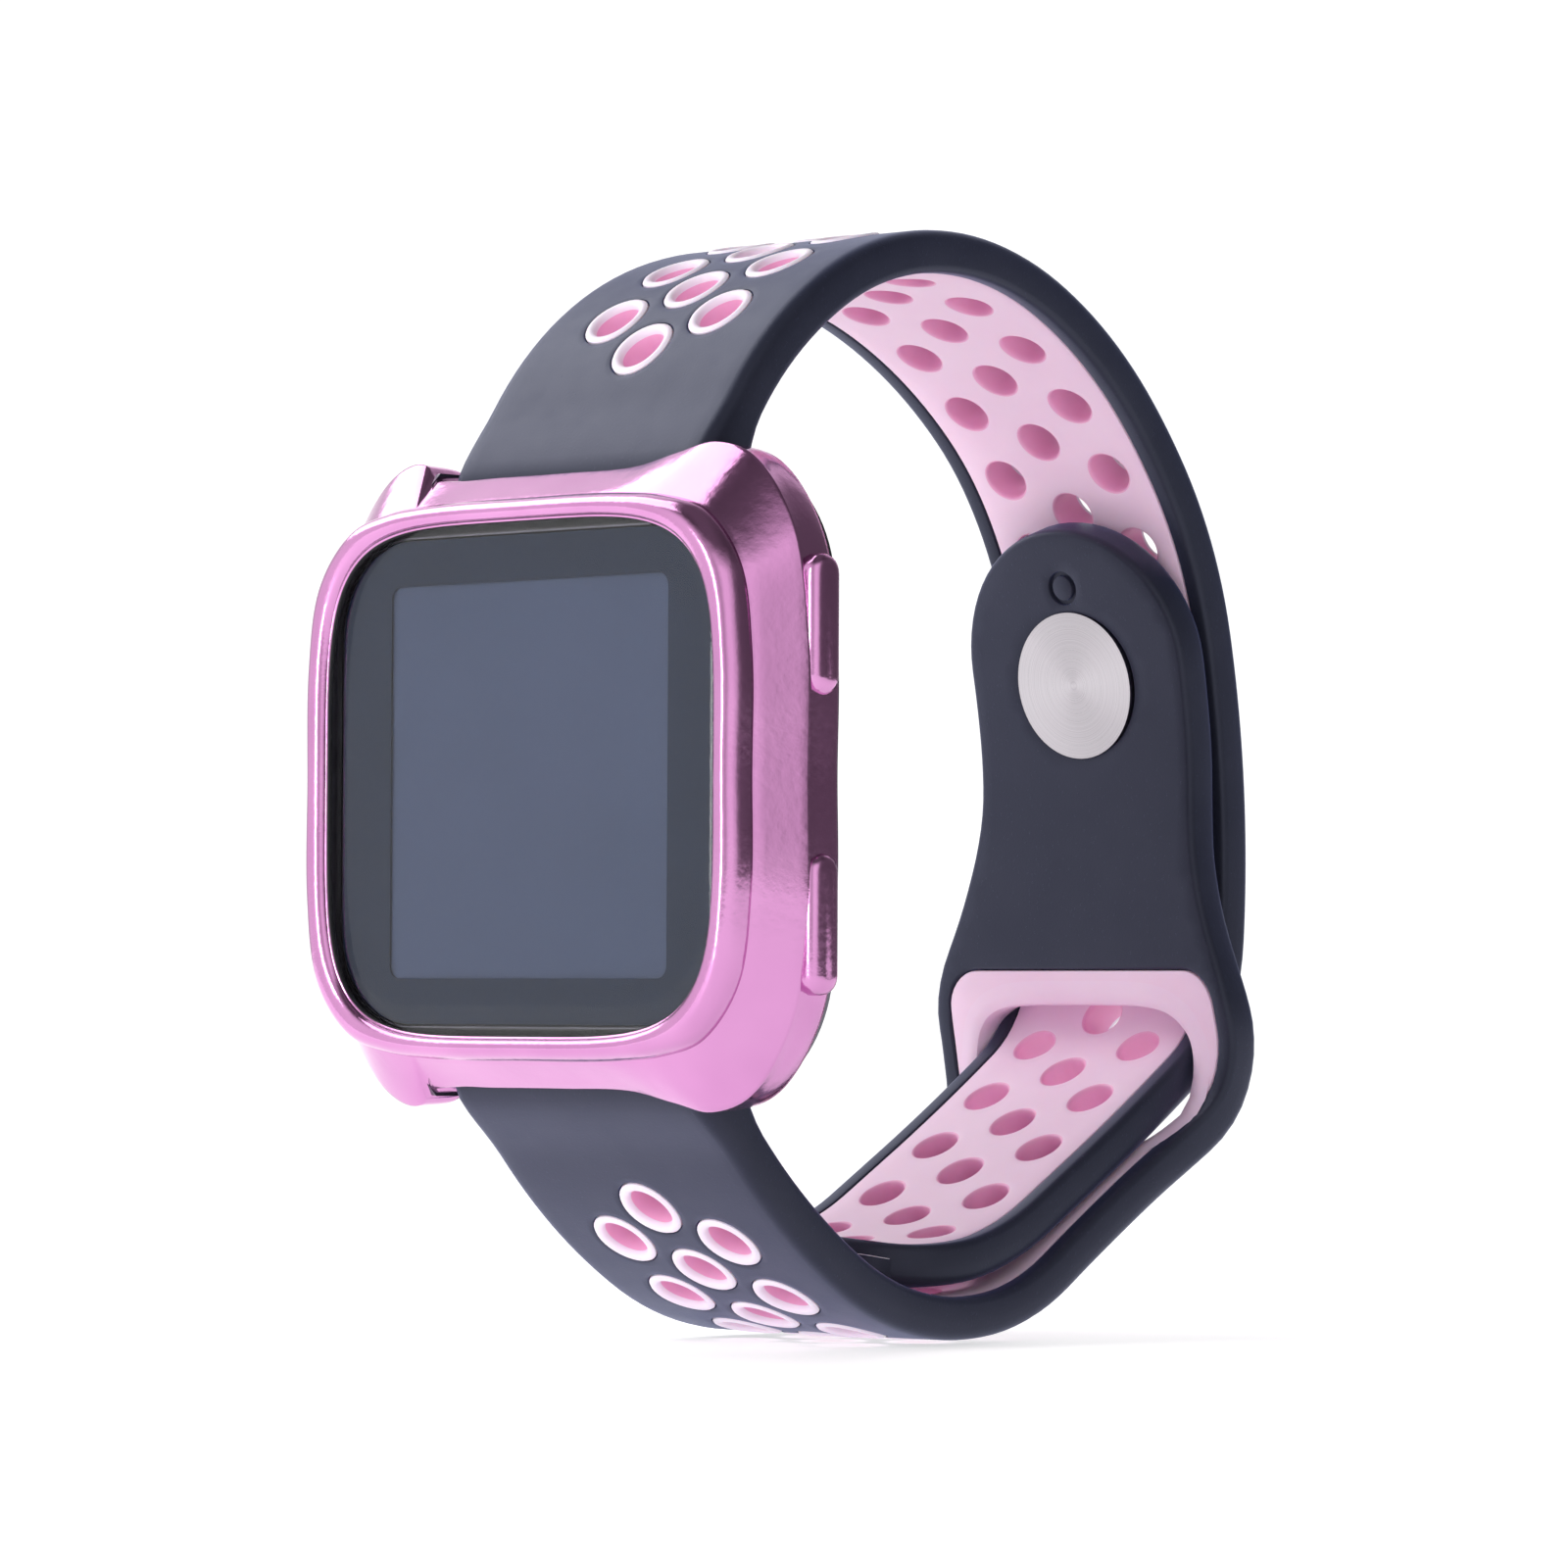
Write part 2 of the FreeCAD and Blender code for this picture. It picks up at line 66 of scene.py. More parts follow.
# Strap side views, the same arcs as the CAD
BAR_Y = -4.7
BAR_Z = 18.4
HALF_T = 1.35
HUB_R = 2.0
UPPER_ARCS = [(2, 0), (14, -33), (10, -26), (12, -29), (12, -22), (16, -32), (20, -16.3),
              (6, -25.5), (4, -25), (12, -4), (5, 0), (10, -29), (5, -25)]
LOWER_ARCS = [(3, 0), (14, 20), (14, 41), (7, 25.5), (11, -2.5), (4, 8), (4, 42.5), (4, 22),
              (4, -17), (8, -3), (7, 13), (14, 12)]
UPPER_WIDTHS = [(0, 21.8), (14, 21.8), (52, 17.8), (128, 18.4)]
LOWER_WIDTHS = [(0, 21.4), (12, 21.4), (38, 20.4), (48, 20.8), (51, 21.2), (54, 23.2), (57, 25.2),
                (60, 26.0), (63, 25.8), (66, 22.8), (70, 19.9), (74, 18.4), (94, 18.8)]
LIP = 1.3
BED = -0.35

# Holes
FIRST_ROW = 9.0
ROW_STEP = 2.965
PAIR_X = 4.52
UPPER_ROWS = 40
LOWER_ROWS = 12
WELL_R = 2.23
RING = [(1.66, -1.34), (1.57, -1.31), (1.51, -1.22), (1.5, -0.95), (1.5, 0.2), (1.5, 1.05),
        (1.54, 1.28), (1.66, 1.42), (1.84, 1.48), (2.02, 1.45), (2.14, 1.34), (2.17, 1.15),
        (2.17, BED)]
RING_WALL = 5
WELL_EDGE = [(2.32, 1.35), (2.26, 1.32), (2.23, 1.22), (2.23, BED + 0.05)]

# Strap loop and stud
SLOT_FROM = 48.6
SLOT_TO = 62.2
SLOT_HALF = 9.4
SLOT_WAIST = 54.0
RIM = 1.4
STUD_S = 83.4
GATE_S = 90.0

# Bumper
OPEN_W = 16.75
OPEN_H = 15.55
SHOULDER_Y = -10.0
RIDGE_Y = -7.15
REAR_Y = -4.3
FRONT_Y = -12.0
LIP_Y = -7.0
GLASS_Y = -11.1
GROOVE_Y = -10.1
OPENING_POWER = 4.6
CASE_BOX = (18.85, 19.45, 8.5)
NECK_BOX = (17.55, 16.35, 7.4)
LIP_HALF = 10.9
LIP_FLOOR = 16.7
LIP_DEPTH = 1.9
CREST = 0.48
ROLL_DEPTH = 1.68

# The opening's wall and ledge: share of the way to the groove, y, and a step outwards
LEDGE = [(0, -11.13, 0.0), (0, -11.38, 0.0), (0.02, -11.46, 0.02), (0.06, -11.5, 0.06), (0.07, -11.56, 0.06)]
RIDGE = [(20.5, 0.0), (20.45, 8.0), (19.2, 14.6), (15.8, 19.0), (12.6, 20.0), (9.4, 19.5),
         (6.0, 18.85), (0.0, 18.75)]
RIDGE_LEFT = [(20.5, 0.0), (20.45, 8.0), (19.2, 14.6), (16.3, 18.7), (13.7, 19.95), (12.4, 19.75),
              (11.8, 19.0), (10.8, 18.8), (6.0, 18.76), (0.0, 18.75)]
SHOULDER = [(18.75, 0.0), (18.7, 7.4), (17.75, 12.4), (14.9, 15.6), (11.4, 16.6), (8.6, 16.85),
            (5.5, 16.95), (0.0, 16.95)]

# Buttons: the side and height of each
BUTTONS = {"left": (-1, 0.0), "right_upper": (1, 8.85), "right_lower": (1, -8.85)}
BUTTON_Y = -6.0
BUTTON_LEN = 8.4
BUTTON_WIDE = 2.4

# Cover glass
GLASS_HALF_W = 16.95
GLASS_HALF_H = 15.85
GLASS_CORNER = 7.0


# ---------------------------------------------------------------- meshes

class Shape:
    """Loops and sheets gathered in millimetres and then made into one smooth mesh."""

    def __init__(self):
        self.points = []
        self.faces = []
        self.marks = []

    def loop(self, points):
        first = len(self.points)
        self.points.extend(points)
        return range(first, len(self.points))

    def skin(self, loops, mark=0):
        """Quads between each closed loop and the next; all have the same number of points."""
        rows = [self.loop(points) for points in loops]
        for low, high in zip(rows, rows[1:]):
            for i in range(len(low)):
                j = (i + 1) % len(low)
                self.faces.append((low[i], low[j], high[j], high[i]))
                self.marks.append(mark)
        return rows

    def cap(self, row, mark=0):
        self.faces.append(tuple(row))
        self.marks.append(mark)

    def sheet(self, flat, corners, lift, mark=0):
        """A flat filled area at one height."""
        first = len(self.points)
        self.points.extend((s, x, lift) for s, x in flat)
        self.faces.extend(tuple(first + i for i in face) for face in corners)
        self.marks.extend(mark for face in corners)

    def build(self, name, materials, place=None, sharp=38):
        mesh = bpy.data.meshes.new(name)
        points = [place(*p) for p in self.points] if place else self.points
        mesh.from_pydata([[c * MM for c in p] for p in points], [], self.faces)
        for material in materials:
            mesh.materials.append(material)
        mesh.polygons.foreach_set("material_index", self.marks)
        work = bmesh.new()
        work.from_mesh(mesh)
        bmesh.ops.remove_doubles(work, verts=work.verts, dist=1.5e-6)
        bmesh.ops.recalc_face_normals(work, faces=work.faces)
        work.to_mesh(mesh)
        work.free()
        mesh.polygons.foreach_set("use_smooth", [True] * len(mesh.polygons))
        mesh.set_sharp_from_angle(angle=math.radians(sharp))
        thing = bpy.data.objects.new(name, mesh)
        bpy.context.scene.collection.objects.link(thing)
        return thing


def circle(s, x, radius, count=32):
    turns = [2 * math.pi * i / count for i in range(count)]
    return [(s + radius * math.cos(a), x - radius * math.sin(a)) for a in turns]


def superellipse(wide, tall, power, count=480):
    points = []
    for i in range(count):
        a = 2 * math.pi * i / count
        c, s = math.cos(a), math.sin(a)
        points.append((math.copysign(wide * abs(c) ** (2 / power), c),
                       math.copysign(tall * abs(s) ** (2 / power), s)))
    return points


def inset(points, depth):
    """A closed outline moved inwards. Outlines run clockwise seen with s to the right, x up."""
    moved = []
    for i, (s, x) in enumerate(points):
        s0, x0 = points[i - 1]
        s1, x1 = points[(i + 1) % len(points)]
        size = math.hypot(s1 - s0, x1 - x0)
        moved.append((s + (x1 - x0) / size * depth, x - (s1 - s0) / size * depth))
    return moved


def within(points, s, x):
    """True if a point lies inside a closed outline."""
    hit = False
    for i, (s1, x1) in enumerate(points):
        s0, x0 = points[i - 1]
        if (x0 > x) != (x1 > x) and s < s0 + (s1 - s0) * (x - x0) / (x1 - x0):
            hit = not hit
    return hit


def fill(outline, cutouts, spots, radius, spacing=0.9):
    """Small triangles over an outline, leaving out other outlines and round holes."""
    flat, edges = [], []
    for loop in [outline] + cutouts + [circle(s, x, radius) for s, x in spots]:
        first = len(flat)
        flat += loop
        edges += [(first + i, first + (i + 1) % len(loop)) for i in range(len(loop))]
    for s, x in spots:
        flat += circle(s, x, radius + 0.4)
    room = inset(outline, 0.5)
    walls = [inset(loop, -0.5) for loop in cutouts]
    low, high = min(s for s, x in outline), max(s for s, x in outline)
    wide = max(x for s, x in outline)
    for i in range(int((high - low) / spacing) + 1):
        for j in range(-int(wide / spacing), int(wide / spacing) + 1):
            s, x = low + i * spacing, j * spacing
            near = any((s - a) ** 2 + (x - b) ** 2 < (radius + 0.8) ** 2 for a, b in spots)
            if near or not within(room, s, x) or any(within(w, s, x) for w in walls):
                continue
            flat.append((s, x))
    made = delaunay_2d_cdt([Vector(p) for p in flat], edges, [], 0, 1e-5)
    spread, corners = [(v.x, v.y) for v in made[0]], []
    for face in made[2]:
        s = sum(spread[i][0] for i in face) / 3
        x = sum(spread[i][1] for i in face) / 3
        gone = any((s - a) ** 2 + (x - b) ** 2 < (radius * 0.995) ** 2 for a, b in spots)
        if gone or not within(outline, s, x) or any(within(c, s, x) for c in cutouts):
            continue
        corners.append(tuple(face))
    return spread, corners


def smooth(t):
    t = min(1.0, max(0.0, t))
    return t * t * (3 - 2 * t)


# ---------------------------------------------------------------- straps

class Path:
    """A strap's centre line in the YZ plane, made of tangent arcs."""

    def __init__(self, z, angle, arcs, outward, widths):
        self.start = (BAR_Y, z, math.radians(angle))
        self.arcs = arcs
        self.outward = outward
        self.widths = widths
        self.length = sum(length for length, turn in arcs)

    def at(self, s):
        y, z, angle = self.start
        left = s
        for length, turn in self.arcs:
            step = min(left, length)
            swing = math.radians(turn) * step / length
            chord = step
            if abs(swing) > 1e-9:
                chord = step * math.sin(swing / 2) / (swing / 2)
            y += chord * math.cos(angle + swing / 2)
            z += chord * math.sin(angle + swing / 2)
            angle += swing
            left -= step
            if left <= 0:
                break
        return y, z, angle

    def place(self, s, x, out):
        """Bends a flat point: s along the strap, x across it and out from its centre line."""
        y, z, angle = self.at(s)
        n = out * self.swell(s) * self.outward
        return (x, y - n * math.sin(angle), z + n * math.cos(angle))

    def swell(self, s):
        """Thickness next to the spring bar, where the strap ends in a round hub."""
        if s < 0:
            return math.sqrt(max(0.0, HUB_R ** 2 - s ** 2)) / HALF_T
        return 1 + (HUB_R / HALF_T - 1) * (1 - smooth(s / 5))

    def width(self, s):
        if s <= self.widths[0][0]:
            return self.widths[0][1]
        for (s0, w0), (s1, w1) in zip(self.widths, self.widths[1:]):
            if s <= s1:
                return w0 + (w1 - w0) * (s - s0) / (s1 - s0)
        return self.widths[-1][1]

    def half(self, s):
        """Half the width, with its corners eased over a few millimetres."""
        return sum(self.width(s + d) for d in (-2, -1, 0, 1, 2)) / 10


UPPER = Path(BAR_Z, 64, UPPER_ARCS, 1, UPPER_WIDTHS)
LOWER = Path(-BAR_Z, -52, LOWER_ARCS, -1, LOWER_WIDTHS)


def strap_outline(path, start, end, tip, margin=0.0, limit=99.0):
    """Edge of a strap laid flat: up one side, round the tip and down the other."""
    straight = end - tip
    count = round(straight - start)
    marks = [start + (straight - start) * i / count for i in range(count)]

    def half(s):
        return min(path.half(s) - margin, limit)

    points = [(s, half(s)) for s in marks]
    for i in range(33):
        a = math.pi * i / 32
        points.append((straight + tip * math.sin(a), half(straight) * math.cos(a)))
    return points + [(s, -half(s)) for s in reversed(marks)]


def square_outline(path, start, end, margin, limit, corner=2.5):
    """The same with a straight far end and round corners."""
    count = round(end - corner - start)
    marks = [start + (end - corner - start) * i / count for i in range(count)]

    def half(s):
        return min(path.half(s) - margin, limit)

    side = [(s, half(s)) for s in marks]
    reach = half(end - corner)
    for i in range(9):
        a = math.pi / 2 * i / 8
        side.append((end - corner + corner * math.sin(a), reach - corner + corner * math.cos(a)))
    across = [(end, (reach - corner) * (1 - k / 8)) for k in range(1, 9)]
    one = side + across
    return one + [(s, -x) for s, x in reversed(one[:-1])]


def hole_rows(rows):
    spots = []
    for k in range(rows):
        s = FIRST_ROW + k * ROW_STEP
        spots += [(s, x) for x in ((0.0,) if k % 2 == 0 else (-PAIR_X, PAIR_X))]
    return spots


def slot_outline(grow):
    """The slot's window or its rim: a soft oblong, narrower towards its lower end."""
    middle, reach = (SLOT_FROM + SLOT_TO) / 2, (SLOT_TO - SLOT_FROM) / 2 + grow
    points = []
    for along, across in superellipse(1, 1, 5, 176):
        s = middle + reach * along
        wide = SLOT_HALF + grow - 0.32 * max(0.0, SLOT_WAIST - s)
        points.append((s, -wide * across))
    return points


def swept(outline, profile):
    """Loops along an outline for a profile of (inset, height) steps."""
    return [[(s, x, lift) for s, x in inset(outline, depth)] for depth, lift in profile]


EDGE = [(0.95, 1.35), (0.6, 1.31), (0.3, 1.17), (0.1, 0.92), (0.0, 0.6), (0.0, 0.0), (0.0, -0.85),
        (0.06, -1.12), (0.2, -1.29), (0.42, -1.35)]
LIP_EDGE = [(-0.22, -1.35), (-0.08, -1.31), (0.0, -1.2), (0.0, BED + 0.05)]
RIM_OUT = [(0.03, BED), (0.03, 1.2), (0.12, 1.38), (0.35, 1.47), (0.7, 1.5)]
RIM_IN = [(-0.75, 1.5), (-0.35, 1.46), (-0.1, 1.34), (0.0, 1.12), (0.0, -1.1), (-0.12, -1.36),
          (-0.4, -1.47), (-0.9, -1.47), (-1.5, -1.34)]
DISC_DENT = [(5.1, -1.35), (4.98, -1.31), (4.92, -1.2), (4.9, -0.75)]
GATE_DENT = [(1.3, -1.35), (1.18, -1.31), (1.14, -1.08), (0.86, -1.08), (0.82, -1.31), (0.7, -1.35)]
SKIN_EDGE = [(0.06, BED), (0.06, -1.12), (0.13, -1.27), (0.32, -1.34)]


def shell_shape(outline, bed, spots, cutouts=(), dents=()):
    """Outer layer of a strap: a smooth face, round edges and a lip round the skin layer."""
    shape = Shape()
    shape.skin(swept(outline, EDGE))
    shape.skin(swept(bed, LIP_EDGE))
    for s, x in spots:
        shape.skin([[(a, b, lift) for a, b in circle(s, x, r)] for r, lift in WELL_EDGE])
    for cut in cutouts:
        shape.skin(swept(cut, [(-0.1, 1.35), (-0.02, 1.31), (0.0, 1.2), (0.0, BED + 0.05)]))
    tops = [inset(cut, -0.1) for cut in cutouts]
    shape.sheet(*fill(inset(outline, 0.95), tops, spots, WELL_EDGE[0][0]), 1.35)
    shape.sheet(*fill(bed, list(cutouts), spots, WELL_R, 1.5), BED + 0.05)
    rims = [circle(s, 0, profile[0][0], 48) for s, profile in dents]
    shape.sheet(*fill(inset(outline, 0.42), [inset(bed, -0.22)] + rims, [], 0), -1.35)
    for s, profile in dents:
        rows = shape.skin([[(a, b, lift) for a, b in circle(s, 0, r, 48)] for r, lift in profile])
        shape.cap(rows[-1])
    return shape


def liner_shape(bed, spots, skin_cuts=(), back_cuts=()):
    """Skin layer: a soft-edged face whose bosses come out through the shell's holes."""
    shape = Shape()
    shape.skin(swept(bed, SKIN_EDGE))
    for s, x in spots:
        rings = [[(a, b, lift) for a, b in circle(s, x, r)] for r, lift in RING]
        # the hole walls take the darker pink material, painted shade inside the holes
        shape.skin(rings[:RING_WALL + 1], 1)
        # the boss tops take the paler pink material, a painted highlight on their rounded rims
        shape.skin(rings[RING_WALL:], 2)
    shape.sheet(*fill(inset(bed, 0.32), list(skin_cuts), spots, RING[0][0]), -1.34)
    shape.sheet(*fill(inset(bed, 0.06), list(back_cuts), spots, RING[-1][0], 1.5), BED)
    return shape


def upper_strap(look):
    end = UPPER.length
    outline = strap_outline(UPPER, -1.99, end, 9.0)
    bed = strap_outline(UPPER, 4.5, end - LIP, 7.7, LIP)
    spots = hole_rows(UPPER_ROWS)
    shell = shell_shape(outline, bed, spots).build("upper_strap_outer", [look["black"]], UPPER.place)
    liner = liner_shape(bed, spots).build("upper_strap_skin", look["pinks"], UPPER.place)
    finish_piece(shell, "band", "black_silicone", "upper_strap_shell")
    finish_piece(liner, "band", "pink_silicone", "upper_strap_liner")


def lower_strap(look):
    end = LOWER.length
    outline = strap_outline(LOWER, -1.99, end, 9.4)
    bed = square_outline(LOWER, 4.5, SLOT_TO + RIM + 0.8, LIP, SLOT_HALF + RIM + 0.8)
    spots = hole_rows(LOWER_ROWS)
    rim, window = slot_outline(RIM), slot_outline(0)
    dents = [(STUD_S, DISC_DENT), (GATE_S, GATE_DENT)]
    shape = shell_shape(outline, bed, spots, [rim], dents)
    shell = shape.build("lower_strap_outer", [look["black"]], LOWER.place)
    liner = liner_shape(bed, spots, [inset(window, -1.5)], [inset(rim, 0.03)])
    liner.skin(swept(rim, RIM_OUT) + swept(window, RIM_IN), 3)
    skin = liner.build("lower_strap_skin", look["pinks"], LOWER.place)
    finish_piece(shell, "band", "black_silicone", "lower_strap_shell")
    finish_piece(skin, "band", "pink_silicone", "lower_strap_liner")


def finish_piece(piece, body, slot, *nodes):
    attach(piece, body)
    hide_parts(*nodes)


# ---------------------------------------------------------------- bumper

def spline(quarter, left=None, per=24):
    """Closed smooth curve through a quarter, the left quarter if it differs, and their mirror images."""
    top = quarter + [(-x, z) for x, z in reversed((left or quarter)[:-1])]
    ring = top + [(x, -z) for x, z in reversed(top[1:-1])]
    count = len(ring)
    points = []
    for i in range(count):
        p = [Vector(ring[(i + k) % count]) for k in (-1, 0, 1, 2)]
        gap = [max(0.2, (p[k + 1] - p[k]).length) for k in range(3)]
        m1 = ((p[1] - p[0]) / gap[0] + (p[2] - p[1]) / gap[1]) * gap[1] / 2
        m2 = ((p[2] - p[1]) / gap[1] + (p[3] - p[2]) / gap[2]) * gap[1] / 2
        for k in range(per):
            t = k / per
            a, b = 2 * t ** 3 - 3 * t ** 2 + 1, t ** 3 - 2 * t ** 2 + t
            c, d = -2 * t ** 3 + 3 * t ** 2, t ** 3 - t ** 2
            points.append(tuple(p[1] * a + m1 * b + p[2] * c + m2 * d))
    return points


def round_box(wide, tall, corner):
    points = []
    for i in range(4):
        sx, sz = ((1, 1), (-1, 1), (-1, -1), (1, -1))[i]
        for k in range(25):
            a = math.pi / 2 * (i + k / 24)
            points.append((sx * (wide - corner) + corner * math.cos(a),
                           sz * (tall - corner) + corner * math.sin(a)))
    return points


class Reach:
    """How far a closed outline lies from the middle in any direction."""

    def __init__(self, points):
        turn = 2 * math.pi
        table = sorted((math.atan2(z, x) % turn, x, z) for x, z in points)
        first, last = table[0], table[-1]
        before, after = (last[0] - turn, *last[1:]), (first[0] + turn, *first[1:])
        self.table = [before] + table + [after]
        self.spot = 0

    def __call__(self, angle):
        while self.spot > 0 and self.table[self.spot][0] > angle:
            self.spot -= 1
        while self.table[self.spot + 1][0] < angle:
            self.spot += 1
        (a0, x0, z0), (a1, x1, z1) = self.table[self.spot], self.table[self.spot + 1]
        ray = math.cos(angle) * (z1 - z0) - math.sin(angle) * (x1 - x0)
        if abs(ray) < 1e-9:
            return math.hypot(x0, z0)
        return (x0 * (z1 - z0) - z0 * (x1 - x0)) / ray


def ring_angles(points, step=0.3):
    """Directions to points evenly spaced along an outline."""
    angles, left = [], 0.0
    for i, (x, z) in enumerate(points):
        x0, z0 = points[i - 1]
        left += math.hypot(x - x0, z - z0)
        if left >= step:
            angles.append(math.atan2(z, x) % (2 * math.pi))
            left = 0.0
    return sorted(angles)


class Bumper:
    """The bumper's outlines seen from the front, and closed rings that lie between them."""

    def __init__(self):
        outer = spline(RIDGE, RIDGE_LEFT)
        self.ridge = Reach(outer)
        self.shoulder = Reach(spline(SHOULDER))
        self.opening = Reach(superellipse(OPEN_W, OPEN_H, OPENING_POWER))
        self.case = Reach(round_box(*CASE_BOX))
        self.neck = Reach(round_box(*NECK_BOX))
        self.angles = ring_angles(outer)

    def ring(self, rule):
        points = []
        for angle in self.angles:
            r, y = rule(angle)
            points.append((r * math.cos(angle), y, r * math.sin(angle)))
        return points

    def roll(self, share, y, extra=0.0):
        """A ring on the bezel, a share of the way from the opening to the groove."""
        def rule(a):
            start = self.opening(a)
            return start + extra + (self.shoulder(a) - start) * share, y
        return self.ring(rule)

    def flank(self, share, out=0.0):
        """A ring on the bevel, a share of the way from the groove to the ridge."""
        def rule(a):
            low, high = self.shoulder(a), self.ridge(a)
            return low + (high - low) * share + out, SHOULDER_Y + (RIDGE_Y - SHOULDER_Y) * share
        return self.ring(rule)

    def notched(self, outline, y, order):
        """A ring behind the ridge. Behind the strap's lip it turns in along the lip's rear edge."""
        def rule(a):
            r, high = outline(a), self.ridge(a)
            x, z = high * math.cos(a), high * math.sin(a)
            share = (1 - smooth((abs(x) - LIP_HALF) / 0.5)) if abs(z) > 10 else 0.0
            lip = high - 0.05 - 0.12 * order
            floor = max(LIP_FLOOR / max(0.1, abs(math.sin(a))), lip - LIP_DEPTH)
            return r + (max(floor, lip) - r) * share, y + (LIP_Y - y) * share
        return self.ring(rule)

    def bezel(self):
        """The opening's wall and ledge, then a roll that rises to its crest and falls to the groove."""
        rings = [self.roll(share, y, out) for share, y, out in LEDGE]
        foot, out = LEDGE[-1][1:]
        for k in range(1, 7):
            a = math.pi / 2 * k / 6
            share = 0.08 + (CREST - 0.08) * (1 - math.cos(a))
            rings.append(self.roll(share, foot + (FRONT_Y - foot) * math.sin(a), out))
        for k in range(1, 10):
            a = math.pi / 2 * k / 9
            share = CREST + 0.56 * math.sin(a)
            rings.append(self.roll(share, FRONT_Y + ROLL_DEPTH * (1 - math.cos(a)), out))
        return rings + [self.roll(1.02, -10.2), self.roll(0.98, GROOVE_Y)]

    def bevel(self):
        rings = [self.flank(0.02, 0.03)]
        rings += [self.flank(share, 0.05) for share in (0.05, 0.2, 0.4, 0.6, 0.8, 0.95)]
        return rings + [self.flank(0.99, 0.03)]

    def rear(self):
        """The straight rear band, its rear face, and the inside up to the glass."""
        profile = [(0.0, -7.08), (-0.03, -6.95), (-0.08, -6.2), (-0.12, -5.4), (-0.2, -4.7),
                   (-0.3, -4.42), (-0.5, REAR_Y)]
        rings = []
        for order, (out, y) in enumerate(profile):
            rings.append(self.notched(lambda a, out=out: self.ridge(a) + out, y, order))

        def cavity(a):
            return max(self.case(a), self.ridge(a) - 1.6)

        rings += [self.notched(cavity, REAR_Y, 7), self.notched(cavity, -6.9, 8)]
        rings += [self.ring(lambda a, y=y: (self.neck(a), y)) for y in (GROOVE_Y, GLASS_Y + 0.01)]
        return rings


def bumper(look):
    """Plated all over, except for the wall of the opening that faces the glass."""
    maker = Bumper()
    rings = maker.bezel() + maker.bevel() + maker.rear()
    shape = Shape()
    shape.skin(rings + rings[:1])
    wall = 2 * len(maker.angles)
    shape.marks[:wall] = [1] * wall
    piece = shape.build("bumper_shell", [look["plated"], look["inner"]], sharp=50)
    finish_piece(piece, "tracker", "pink_plated_tpu", "bumper_case")


def pill(length, wide, depth, count=12):
    """A stadium outline moved inwards, as (along, across)."""
    half, r = (length - wide) / 2, wide / 2 - depth
    points = []
    for i in range(count + 1):
        a = math.pi * i / count
        points.append((half + r * math.sin(a), r * math.cos(a)))
    for i in range(count + 1):
        a = math.pi * i / count
        points.append((-half - r * math.sin(a), -r * math.cos(a)))
    return points


def buttons(look):
    """Plated pills that stand out of the rear band, each with a crest along it."""
    profile = [(0.0, 19.25), (0.0, 20.3), (0.04, 20.55), (0.16, 20.78), (0.36, 20.94),
               (0.62, 21.04), (0.9, 21.08)]
    for name, (side, z) in BUTTONS.items():
        shape = Shape()
        loops = []
        for depth, out in profile:
            outline = pill(BUTTON_LEN, BUTTON_WIDE, depth)
            loops.append([(side * out, BUTTON_Y + w, z + h) for h, w in outline])
        rows = shape.skin(loops)
        shape.cap(rows[0])
        shape.cap(rows[-1])
        piece = shape.build(f"{name}_button_top", [look["plated"]])
        finish_piece(piece, f"{name}_button", "pink_plated_tpu", f"{name}_button_cover")


def glass_pane(look):
    """Cover glass with a curved edge. Its rear face stays just clear of the printed border."""
    profile = [(2.3, GLASS_Y), (1.6, -11.075), (1.0, -11.01), (0.5, -10.88), (0.15, -10.68), (0.0, -10.45),
               (0.0, -10.28), (0.06, -10.23)]
    shape = Shape()
    rows = []
    for depth, y in profile:
        outline = round_box(GLASS_HALF_W - depth, GLASS_HALF_H - depth, GLASS_CORNER - depth)
        rows.append([(x, y, z) for x, z in outline])
    rings = shape.skin(rows)
    shape.cap(rings[0])
    shape.cap(rings[-1])
    piece = shape.build("cover_glass_pane", [look["glass"]])
    finish_piece(piece, "tracker", "cover_glass", "cover_glass")


# ---------------------------------------------------------------- materials

